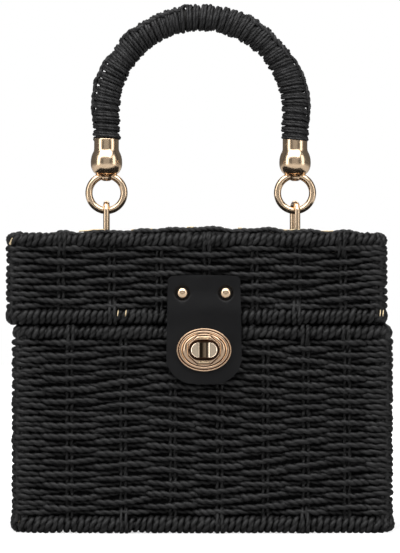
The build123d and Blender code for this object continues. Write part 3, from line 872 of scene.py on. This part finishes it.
# ---- Leather tab -------------------------------------------------------------------------
# One strap end cut from smooth black leather, two millimetres thick, with an oblong slot for
# the lock. It is riveted to the lid and steps out over the two rims.
TAB_X = 0.9 * MM
TAB_HALF = 19.5 * MM
TAB_TOP = 133.9 * MM
TAB_LOW = 77.7 * MM
TAB_THICK = 2.0 * MM
TAB_TOP_CORNER = 2.5 * MM
TAB_LOW_CORNER = 14.0 * MM
TAB_TAPER = 0.7 * MM
TAB_BEND_LOW, TAB_BEND_HIGH = 111.0 * MM, 127.0 * MM
TAB_FRONT_AT_LID = -51.4 * MM
TAB_FRONT_HANGING = -53.0 * MM
LOCK_Z = 95.2 * MM
SLOT_HALF_LONG = 7.4 * MM
SLOT_HALF_TALL = 4.65 * MM
RIVET_X = 11.2 * MM
RIVET_Z = 124.6 * MM
RIVET_AREA = 4.5 * MM
RIVET_DIP, RIVET_DIP_AT, RIVET_DIP_WIDE = 0.95 * MM, 3.15 * MM, 0.7 * MM


def arc(centre_x, centre_z, radius, start, stop, pieces):
    """Points on an arc, between two angles in degrees."""
    turns = [math.radians(start + (stop - start) * i / pieces) for i in range(pieces + 1)]
    return [(centre_x + radius * math.cos(turn), centre_z + radius * math.sin(turn)) for turn in turns]


def tab_outline():
    low_x, low_z = TAB_HALF - TAB_LOW_CORNER, TAB_LOW + TAB_LOW_CORNER
    top_x, top_z = TAB_HALF - TAB_TAPER - TAB_TOP_CORNER, TAB_TOP - TAB_TAPER - TAB_TOP_CORNER
    right = arc(low_x, low_z, TAB_LOW_CORNER, -90, 0, 16) + arc(top_x, top_z, TAB_TOP_CORNER, 0, 84, 8)
    left = arc(-top_x, top_z, TAB_TOP_CORNER, 96, 180, 8) + arc(-low_x, low_z, TAB_LOW_CORNER, 180, 270, 16)
    return right + left


def slot_outline():
    end_x = SLOT_HALF_LONG - SLOT_HALF_TALL
    return arc(end_x, LOCK_Z, SLOT_HALF_TALL, -90, 90, 12) + arc(-end_x, LOCK_Z, SLOT_HALF_TALL, 90, 270, 12)


def flat_shape(name, *outlines):
    """A flat sheet on the XZ plane, filled between its outlines of (x, z) points."""
    curve = straight_lines(name, "2D", [[(x, z, 0) for x, z in outline] for outline in outlines], True)
    curve.fill_mode = "BOTH"
    drawn = placed(name, curve)
    mesh = bpy.data.meshes.new_from_object(drawn)
    bpy.data.objects.remove(drawn)
    mesh.transform(Matrix.Translation((TAB_X, 0, 0)) @ Matrix.Rotation(math.radians(90), 4, "X"))
    return mesh


def cut_lines(mesh_work, normal, low, high, step):
    """Divides a sheet by evenly spaced straight cuts, so that it can bend."""
    count = int((high - low) / step)
    for i in range(1, count):
        at = normal * (low + (high - low) * i / count)
        everything = mesh_work.verts[:] + mesh_work.edges[:] + mesh_work.faces[:]
        bmesh.ops.bisect_plane(mesh_work, geom=everything, plane_co=at, plane_no=normal, dist=1e-7)


def smooth_between(value, low, high):
    t = min(max((value - low) / (high - low), 0.0), 1.0)
    return t * t * (3 - 2 * t)


def soften_edges(piece, width, segments, degrees):
    """A live bevel on a piece's sharp edges."""
    edges = piece.modifiers.new("edges", "BEVEL")
    edges.width = width
    edges.segments = segments
    edges.limit_method = "ANGLE"
    edges.angle_limit = math.radians(degrees)
    return edges


leather_mesh = flat_shape("leather_tab_front", tab_outline(), slot_outline())
work = bmesh.new()
work.from_mesh(leather_mesh)
bmesh.ops.remove_doubles(work, verts=work.verts[:], dist=1e-6)
cut_lines(work, UPWARDS, TAB_LOW, TAB_TOP, 1.4 * MM)
cut_lines(work, TO_RIGHT, TAB_X - TAB_HALF, TAB_X + TAB_HALF, 1.5 * MM)
cut_lines(work, UPWARDS, RIVET_Z - RIVET_AREA, RIVET_Z + RIVET_AREA, 0.5 * MM)
for rivet_x in (TAB_X - RIVET_X, TAB_X + RIVET_X):
    cut_lines(work, TO_RIGHT, rivet_x - RIVET_AREA, rivet_x + RIVET_AREA, 0.5 * MM)
for vert in work.verts:
    x, z = vert.co.x - TAB_X, vert.co.z
    step_out = 1 - smooth_between(z, TAB_BEND_LOW, TAB_BEND_HIGH)
    y = TAB_FRONT_AT_LID + (TAB_FRONT_HANGING - TAB_FRONT_AT_LID) * step_out
    for rivet_x in (-RIVET_X, RIVET_X):
        away = math.hypot(x - rivet_x, z - RIVET_Z)
        y += RIVET_DIP * math.exp(-(((away - RIVET_DIP_AT) / RIVET_DIP_WIDE) ** 2))
    y -= 0.35 * MM * math.exp(-(((x / (9 * MM)) ** 2) + ((z - 131 * MM) / (3 * MM)) ** 2))
    vert.co.y = y
    vert.co.z += 0.75 * MM * (1 - (x / TAB_HALF) ** 2) * smooth_between(z, 128 * MM, TAB_TOP - 0.8 * MM)
bmesh.ops.recalc_face_normals(work, faces=work.faces[:])
if sum(face.normal.y for face in work.faces) > 0:
    bmesh.ops.reverse_faces(work, faces=work.faces[:])
work.to_mesh(leather_mesh)
work.free()
leather = placed("leather_strap", leather_mesh)
thickness = leather.modifiers.new("thickness", "SOLIDIFY")
thickness.thickness = TAB_THICK
thickness.offset = -1
# The bevelled edge takes a second finish.
soften_edges(leather, 0.45 * MM, 3, 50).material = 1
leather_mesh.shade_smooth()

hide, hide_tree, hide_shader = new_finish("black_leather")
hide_place = add_node(hide_tree, "TexCoord").outputs["Object"]
hide_black, hide_grey = (0.0030, 0.0030, 0.0034), (0.0062, 0.0062, 0.0068)
grain = add_node(hide_tree, "TexVoronoi", Vector=hide_place, Scale=1500)
clouding = add_node(hide_tree, "TexNoise", Vector=hide_place, Scale=90, Detail=5)
handling = add_node(hide_tree, "TexNoise", Vector=hide_place, Scale=45, Detail=2)
connect(
    hide_shader,
    Base_Color=colour_ramp(hide_tree, clouding, (0.0, hide_black), (1.0, hide_grey)),
    Roughness=add_node(hide_tree, "MapRange", handling, 0.3, 0.7, 0.34, 0.56),
    Specular_IOR_Level=0.19,
    Normal=add_node(hide_tree, "Bump", Strength=0.12, Distance=0.0002, Height=grain),
)
# The bevelled edge is coloured lighter than the face, in blotches.
edge_tone, edge_tree, edge_shader = new_finish("lighter_edge")
edge_place = add_node(edge_tree, "TexCoord").outputs["Object"]
edge_blotches = add_node(edge_tree, "TexNoise", Vector=edge_place, Scale=400)
edge_colour = colour_ramp(edge_tree, edge_blotches, (0.0, (0.030, 0.030, 0.032)), (1.0, (0.075, 0.075, 0.078)))
connect(edge_shader, Base_Color=edge_colour, Roughness=0.42)
leather_mesh.materials.clear()
leather_mesh.materials.append(hide)
leather_mesh.materials.append(edge_tone)
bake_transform(leather)
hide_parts("leather_tab")

# ---- Metal finishes ----------------------------------------------------------------------
# Rings, staples, caps and rivets are polished and plated pale gold. The lock is a pinker gold in copies of
# three lightnesses: a darker one on the plate is painted shade, and lighter ones on the keys and the knob are
# painted highlight.
# The frame is brass-coated wire, and what hides inside is plain pressed steel.


def polished_metal(name, colour, roughness, scuff):
    """Plated metal with a faint uneven polish."""
    material, tree, shader = new_finish(name)
    place = add_node(tree, "TexCoord").outputs["Object"]
    haze = add_node(tree, "TexNoise", Vector=place, Scale=220, Detail=4)
    tint = tree.nodes.new("ShaderNodeMix")
    tint.data_type = "RGBA"
    worn = (colour[0] * 0.95, colour[1] * 0.92, colour[2] * 0.88, 1)
    connect(
        shader,
        Base_Color=connect(tint, Factor=haze, A=(*colour, 1), B=worn),
        Roughness=add_node(tree, "MapRange", haze, To_Min=roughness, To_Max=roughness + scuff),
        Metallic=1.0,
    )
    return material


def refinish(material, *names):
    """Puts a finish on fittings that stay as they come from the CAD model."""
    for name in names:
        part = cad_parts[name]
        part.data.materials.clear()
        part.data.materials.append(material)


gold = polished_metal("pale_gold", (0.90, 0.68, 0.47), 0.16, 0.08)
# Lit and shaded copies of one rose gold: the plate's darker, and the keys' and the knob's lighter.
rose = polished_metal("rose_gold", (0.60, 0.43, 0.30), 0.16, 0.08)
rose_lit_copy = polished_metal("rose_gold_painted_lighter", (0.86, 0.66, 0.44), 0.16, 0.07)
# A near-black copy of the rose gold for the plate's grooves: painted shade.
rose_groove_painted_shade = polished_metal("rose_gold_painted_groove_shade", (0.07, 0.028, 0.016), 0.35, 0.10)
bronze_painted_gap_shade = polished_metal("bronze_painted_gap_shade", (0.16, 0.085, 0.05), 0.30, 0.15)
brass_wire = polished_metal("brass_wire", (0.74, 0.60, 0.38), 0.25, 0.15)
steel = polished_metal("pressed_steel", (0.50, 0.50, 0.50), 0.35, 0.15)
cane = polished_metal("core_cane", (0.012, 0.011, 0.010), 0.6, 0.2)
connect(cane.node_tree.nodes["Principled BSDF"], Metallic=0.0)
# Painted shade: the lock's base is made near-black to stand for the shaded gap round the knob.
refinish(bronze_painted_gap_shade, "lock_base")
refinish(brass_wire, "body_frame", "lid_frame")
refinish(steel, "lock_base_washer", "detent_spring", "lock_plate_back", "rivet_washers")
refinish(steel, "staple_plate_left", "staple_plate_right")
refinish(cane, "handle_core")

# ---- Handle caps, rings and staples ------------------------------------------------------
# The caps are turned: a sleeve on the wrapping's end, a bell and a lug with the ring through
# it. Rings are bent wire, closed and polished. Each staple is a bent wire driven through the
# lid's woven top and clenched under it.
STAPLE_TURN = {"left": 0.0, "right": 14.0}
RING_R = 9.36 * MM
RING_WIRE_R = 1.92 * MM
RING_MIDDLE_Z = 177.66 * MM
RING_STEPS = 72
STAPLE_WIRE_R = 1.6 * MM
STAPLE_HALF = 4.5 * MM
STAPLE_ARCH_Z = 167.6 * MM
STAPLE_LOW_Z = 147.4 * MM
CAP_PROFILE = (
    (0.0, 184.0), (1.6, 184.05), (2.5, 184.45), (3.0, 185.2), (3.05, 186.0), (3.3, 186.6),
    (4.4, 187.0), (5.8, 187.7), (7.0, 188.9), (7.85, 190.4), (8.3, 192.0), (8.4, 193.8),
    (8.3, 195.6), (8.0, 197.2), (7.5, 198.6), (7.0, 199.6), (6.7, 200.4), (6.6, 201.4), (6.6, 203.8),
    (6.6, 206.2), (6.45, 206.75), (6.1, 206.9), (5.3, 206.9), (4.95, 206.5),
)


def new_piece(name, work, body, slot, material, *nodes):
    """Turns finished mesh work into a piece with its finish and its body."""
    mesh = bpy.data.meshes.new(name)
    work.to_mesh(mesh)
    work.free()
    mesh.shade_smooth()
    piece = placed(name, mesh)
    finish_piece(piece, body, slot, material, *nodes)
    return piece


def lathe(profile, centre, axis, steps=72):
    """A turned shape: its profile is a line of (radius, height) points, spun full round."""
    work = bmesh.new()
    sideways = UPWARDS if axis.y else TO_RIGHT
    line = [work.verts.new(centre + sideways * r * MM + axis * h * MM) for r, h in profile]
    edges = [work.edges.new(pair) for pair in zip(line, line[1:])]
    bmesh.ops.spin(
        work, geom=line + edges, cent=centre, axis=axis, angle=2 * math.pi, steps=steps, use_merge=True
    )
    bmesh.ops.remove_doubles(work, verts=work.verts[:], dist=1e-7)
    open_edges = [e for e in work.edges if e.is_boundary]
    if open_edges:
        bmesh.ops.holes_fill(work, edges=open_edges)
    bmesh.ops.recalc_face_normals(work, faces=work.faces[:])
    return work


def bent_wire(name, points, radius, closed=False):
    """A round wire bent along a line of points."""
    curve = straight_lines(name, "3D", [points], closed)
    curve.bevel_depth = radius
    curve.bevel_resolution = 6
    curve.use_fill_caps = not closed
    return piece_of_curve(name, curve)


for way, side in ((-1, "left"), (1, "right")):
    middle_x = HANDLE_X + way * HANDLE_HALF
    cap = lathe(CAP_PROFILE, Vector((middle_x, 0, 0)), UPWARDS)
    new_piece("turned_cap_" + side, cap, "handle", "gold_metal", gold, "cap_" + side)

    ring_points = []
    for turn in full_turn(RING_STEPS):
        ring_points.append((middle_x + RING_R * math.cos(turn), 0, RING_MIDDLE_Z + RING_R * math.sin(turn)))
    ring = bent_wire("wire_ring_" + side, ring_points, RING_WIRE_R, closed=True)
    finish_piece(ring, "ring_" + side, "gold_metal", gold, "ring_" + side)

    leg = [STAPLE_LOW_Z + (STAPLE_ARCH_Z - STAPLE_LOW_Z) * i / 6 for i in range(6)]
    outline = [(-STAPLE_HALF, z) for z in leg]
    outline += arc(0, STAPLE_ARCH_Z, STAPLE_HALF, 180, 0, 24)
    outline += [(STAPLE_HALF, z) for z in reversed(leg)]
    askew = math.radians(STAPLE_TURN[side])
    staple_points = [(middle_x - y * math.sin(askew), y * math.cos(askew), z) for y, z in outline]
    staple = bent_wire("wire_staple_" + side, staple_points, STAPLE_WIRE_R)
    finish_piece(staple, "lid", "gold_metal", gold, "staple_" + side)

# ---- Bare wire ---------------------------------------------------------------------------
# The lid's frame wire shows in a few places where the cord has parted: at the front left corner,
# between some turns on the mouth rim, and as a thin line along the top edge.
BARE_TURNS = (-43.9, -39.8, 91.9, 93.4)
BARE_TURN_R = 0.28 * MM
BARE_EDGES = ((-64, -51), (-37, -26), (-8, -4.5), (18.5, 20.5), (40, 53), (59, 68))
BARE_EDGE_R = 0.38 * MM
BARE_CORNER = ((-0.5, 149.6), (-0.2, 150.5), (0.25, 151.5), (0.8, 152.4), (1.1, 152.9))
BARE_CORNER_R = 0.7 * MM
bare_runs = []
for x in BARE_TURNS:
    points = []
    for degrees in range(2, 56, 6):
        turn = math.radians(degrees)
        reach = LID_RIM_R + 0.05 * MM
        lean_x = x * MM + 0.5 * MM * math.sin(turn)
        points.append((lean_x, -WALL_HALF_Y - reach * math.cos(turn), LID_RIM_Z + reach * math.sin(turn)))
    bare_runs.append((points, BARE_TURN_R))
for low, high in BARE_EDGES:
    points = []
    for i in range(9):
        x = (low + (high - low) * i / 8) * MM
        height = edge_height(Vector((x - LID_SHIFT, -WALL_HALF_Y, 0))) + EDGE_CORD_R * 0.75
        points.append((x, -WALL_HALF_Y + 0.9 * MM, height + 0.1 * MM * math.sin(i * 1.7)))
    bare_runs.append((points, BARE_EDGE_R))
corner_at, corner_out = rim_point(stake_places(LID_STAKES)[CORNERS[-1]], LID_SHIFT)
corner_at += corner_out * (LID_TOP_RIM_R - 0.2 * MM)
points = [(corner_at.x + lean * MM, corner_at.y + 0.15 * MM, z * MM) for lean, z in BARE_CORNER]
bare_runs.append((points, BARE_CORNER_R))
for number, (points, radius) in enumerate(bare_runs):
    finish_piece(bent_wire("lid_bare_wire_" + str(number), points, radius), "lid", "wire", brass_wire)

# ---- Rivets ------------------------------------------------------------------------------
# Two domed rivets hold the tab's top to the lid, each drawn down a little into the leather.
RIVET_PROFILE = (
    (0.0, 1.80), (0.5, 1.83), (1.0, 1.86), (1.35, 1.80), (1.7, 1.66), (2.3, 1.28), (2.68, 0.78), (2.85, 0.2),
    (2.8, -0.6),
)
TO_FRONT = Vector((0, -1, 0))
for side, name, nodes in ((-1, "left", ("tab_rivets",)), (1, "right", ())):
    centre = Vector((TAB_X + side * RIVET_X, TAB_FRONT_AT_LID + 0.1 * MM, RIVET_Z))
    rivet = lathe(RIVET_PROFILE, centre, TO_FRONT, steps=40)
    new_piece("domed_rivet_" + name, rivet, "lid", "gold_metal", gold, *nodes)

# ---- Turn lock ---------------------------------------------------------------------------
# The plate is pressed from sheet: a rolled lip, a wide band with two fine grooves and a dish with cut
# corners round the slot. The knob is a cast oblong with a scoop across its face, painted with reflections.
PLATE_ROUND = 96
PLATE_RINGS = (
    ("oval", 14.25, 11.25, -53.0), ("oval", 14.25, 11.25, -54.1), ("oval", 14.15, 11.15, -54.5),
    ("oval", 13.9, 10.9, -54.75), ("oval", 13.6, 10.6, -54.75), ("oval", 13.45, 10.45, -54.6),
    ("groove", 13.35, 10.35, -54.0), ("groove", 13.05, 10.05, -54.0), ("oval", 12.9, 9.9, -54.3),
    ("oval", 12.2, 9.3, -54.42), ("oval", 11.4, 8.75, -54.35), ("groove", 11.3, 8.68, -53.9),
    ("groove", 10.98, 8.42, -53.9), ("oval", 10.88, 8.36, -54.3), ("eight", 8.7, 7.75, -54.4),
    ("eight", 8.4, 7.5, -54.35), ("eight groove", 8.3, 7.42, -53.9), ("eight groove", 8.0, 7.15, -53.9),
    ("eight", 7.95, 7.05, -54.2), ("slot", 7.9, 5.35, -54.1), ("slot groove", 7.45, 4.75, -53.9),
    ("slot groove", 7.4, 4.65, -53.0),
)
PLATE_KEY = ((-2.9, 6.9), (2.9, 6.9), (2.1, 5.6), (-2.1, 5.6))
PLATE_KEY_AT, PLATE_KEY_THICK = 54.0 * MM, 0.55 * MM


def eight_sided_point(turn, half_long, half_tall):
    """A point on an octagon that has a flat top and is stretched to fit a box."""
    eighth = math.pi / 4
    reach = 1 / math.cos((turn + eighth / 2) % eighth - eighth / 2)
    return reach * half_long * math.cos(turn), reach * half_tall * math.sin(turn)


def oblong_point(turn, half_long, half_tall):
    """A point on a straight-sided oblong with round ends, in one direction from its middle."""
    c, d = math.cos(turn), math.sin(turn)
    straight = half_long - half_tall
    if abs(d) > 1e-9 and half_tall / abs(d) * abs(c) <= straight:
        return half_tall / abs(d) * c, math.copysign(half_tall, d)
    reach = straight * abs(c) + math.sqrt(max((straight * c) ** 2 - straight**2 + half_tall**2, 0.0))
    return reach * c, reach * d


def ringed_mesh(outlines, grooves):
    """A pressed shape: closed outlines, each drawn from the one before. An outline is a list of
    (x, y, z) in millimetres. The faces that lead to some of them are grooves."""
    work = bmesh.new()
    bmesh.ops.create_circle(work, cap_ends=False, segments=len(outlines[0]), radius=1.0)
    ring = work.verts[:]
    for vert, place in zip(ring, outlines[0]):
        vert.co = Vector(place) * MM
    edges = work.edges[:]
    for number, outline in enumerate(outlines[1:], 1):
        grown, fresh, edges = draw_out(work, edges)
        for face in new_parts(grown, bmesh.types.BMFace):
            face.material_index = 1 if number in grooves else 0
        beside = [edge.other_vert(vert) for vert in ring for edge in vert.link_edges]
        ring = [vert for vert in beside if vert in fresh]
        for vert, place in zip(ring, outline):
            vert.co = Vector(place) * MM
    return work


def plate_outline(kind, half_long, half_tall, y):
    """One of the plate's outlines, in millimetres."""
    points = []
    for turn in full_turn(PLATE_ROUND):
        if kind.startswith("slot"):
            x, z = oblong_point(turn, half_long, half_tall)
        elif kind.startswith("eight"):
            x, z = eight_sided_point(turn, half_long, half_tall)
        else:
            x, z = half_long * math.cos(turn), half_tall * math.sin(turn)
        points.append((TAB_X / MM + x, y, LOCK_Z / MM + z))
    return points


outlines = [plate_outline(*ring) for ring in PLATE_RINGS]
grooves = [number for number, ring in enumerate(PLATE_RINGS) if ring[0].endswith("groove")]
plate = ringed_mesh(outlines + outlines[:1], grooves)
bmesh.ops.remove_doubles(plate, verts=plate.verts[:], dist=1e-6)
bmesh.ops.recalc_face_normals(plate, faces=plate.faces[:])
plate_piece = new_piece("pressed_plate", plate, "lock_tab", "lock_metal", rose, "lock_plate")
# The grooves take the near-black copy of the rose gold: painted shade in them.
plate_piece.data.materials.append(rose_groove_painted_shade)
for side, name in ((-1, "low"), (1, "high")):
    work = bmesh.new()
    work.from_mesh(flat_shape("key", [(x * MM, LOCK_Z + side * z * MM) for x, z in PLATE_KEY]))
    bmesh.ops.translate(work, vec=TO_FRONT * PLATE_KEY_AT, verts=work.verts[:])
    grown = bmesh.ops.extrude_face_region(work, geom=work.faces[:])
    fronts = new_parts(grown, bmesh.types.BMVert)
    bmesh.ops.translate(work, vec=TO_FRONT * PLATE_KEY_THICK, verts=fronts)
    around = [e for e in work.edges if all(v in fronts for v in e.verts)]
    bmesh.ops.bevel(work, geom=around, offset=0.25 * MM, segments=2, profile=0.5, affect="EDGES", material=-1)
    bmesh.ops.recalc_face_normals(work, faces=work.faces[:])
    new_piece("plate_key_" + name, work, "lock_tab", "lock_metal", rose_lit_copy)

KNOB_HALF_LONG, KNOB_HALF_TALL = 6.65 * MM, 3.8 * MM
KNOB_BACK, KNOB_FRONT = 54.9 * MM, 58.2 * MM
KNOB_ROUND = 64
SCOOP_HALF, SCOOP_DEPTH = 3.1 * MM, 1.0 * MM
# Painted reflection: dark and light bands across the knob's scoop, set by the distance across it.
SCOOP_REFLECTIONS_FROM, SCOOP_REFLECTIONS_TO = TAB_X - 3.0 * MM, TAB_X + 2.2 * MM
SCOOP_PAINTED_REFLECTIONS = (
    (0.0, 1.0), (0.12, 0.08), (0.40, 0.05), (0.56, 0.30), (0.72, 0.42), (0.82, 0.16), (0.92, 0.20),
    (1.0, 1.0),
)
STEM_PROFILE = ((0.0, 55.2), (2.6, 55.2), (2.6, 53.9), (1.5, 53.9), (1.5, 49.0), (0.0, 49.0))
# The knob's rose gold is a lighter copy: painted highlight.
knob_finish = polished_metal("rose_gold_painted_scoop_reflection", (0.97, 0.80, 0.62), 0.10, 0.06)
knob_tree = knob_finish.node_tree
knob_shader = knob_tree.nodes["Principled BSDF"]
knob_split = add_node(knob_tree, "SeparateXYZ", add_node(knob_tree, "TexCoord").outputs["Object"])
scoop_reflection_way = add_node(knob_tree, "MapRange", knob_split, From_Min=SCOOP_REFLECTIONS_FROM, From_Max=SCOOP_REFLECTIONS_TO)
scoop_reflection_tints = [(at, (n, n * (0.85 + 0.15 * n), n * (0.68 + 0.32 * n))) for at, n in SCOOP_PAINTED_REFLECTIONS]
scoop_painted_reflection = colour_ramp(knob_tree, scoop_reflection_way, *scoop_reflection_tints)
knob_metal = knob_shader.inputs["Base Color"].links[0].from_socket
connect(knob_shader, Base_Color=multiplied(knob_tree, knob_metal, scoop_painted_reflection))

knob_outline = [oblong_point(turn, KNOB_HALF_LONG, KNOB_HALF_TALL) for turn in full_turn(KNOB_ROUND)]
work = bmesh.new()
work.from_mesh(flat_shape("knob_face", [(x, LOCK_Z + z) for x, z in knob_outline]))
bmesh.ops.remove_doubles(work, verts=work.verts[:], dist=1e-7)
cut_lines(work, TO_RIGHT, TAB_X - KNOB_HALF_LONG, TAB_X + KNOB_HALF_LONG, 0.35 * MM)
bmesh.ops.translate(work, vec=TO_FRONT * KNOB_BACK, verts=work.verts[:])
grown = bmesh.ops.extrude_face_region(work, geom=work.faces[:])
for vert in new_parts(grown, bmesh.types.BMVert):
    x = vert.co.x - TAB_X
    dip = max(0.0, 1 - (x / SCOOP_HALF) ** 2)
    vert.co.y = -KNOB_FRONT + SCOOP_DEPTH * dip + 0.2 * MM * (x / KNOB_HALF_LONG) ** 2
bmesh.ops.recalc_face_normals(work, faces=work.faces[:])
knob = new_piece("cast_knob", work, "knob", "lock_metal", knob_finish, "turn_knob")
soften_edges(knob, 0.8 * MM, 4, 55)
stem = lathe(STEM_PROFILE, Vector((TAB_X, 0, LOCK_Z)), TO_FRONT, steps=32)
new_piece("knob_stem", stem, "knob", "lock_metal", rose)
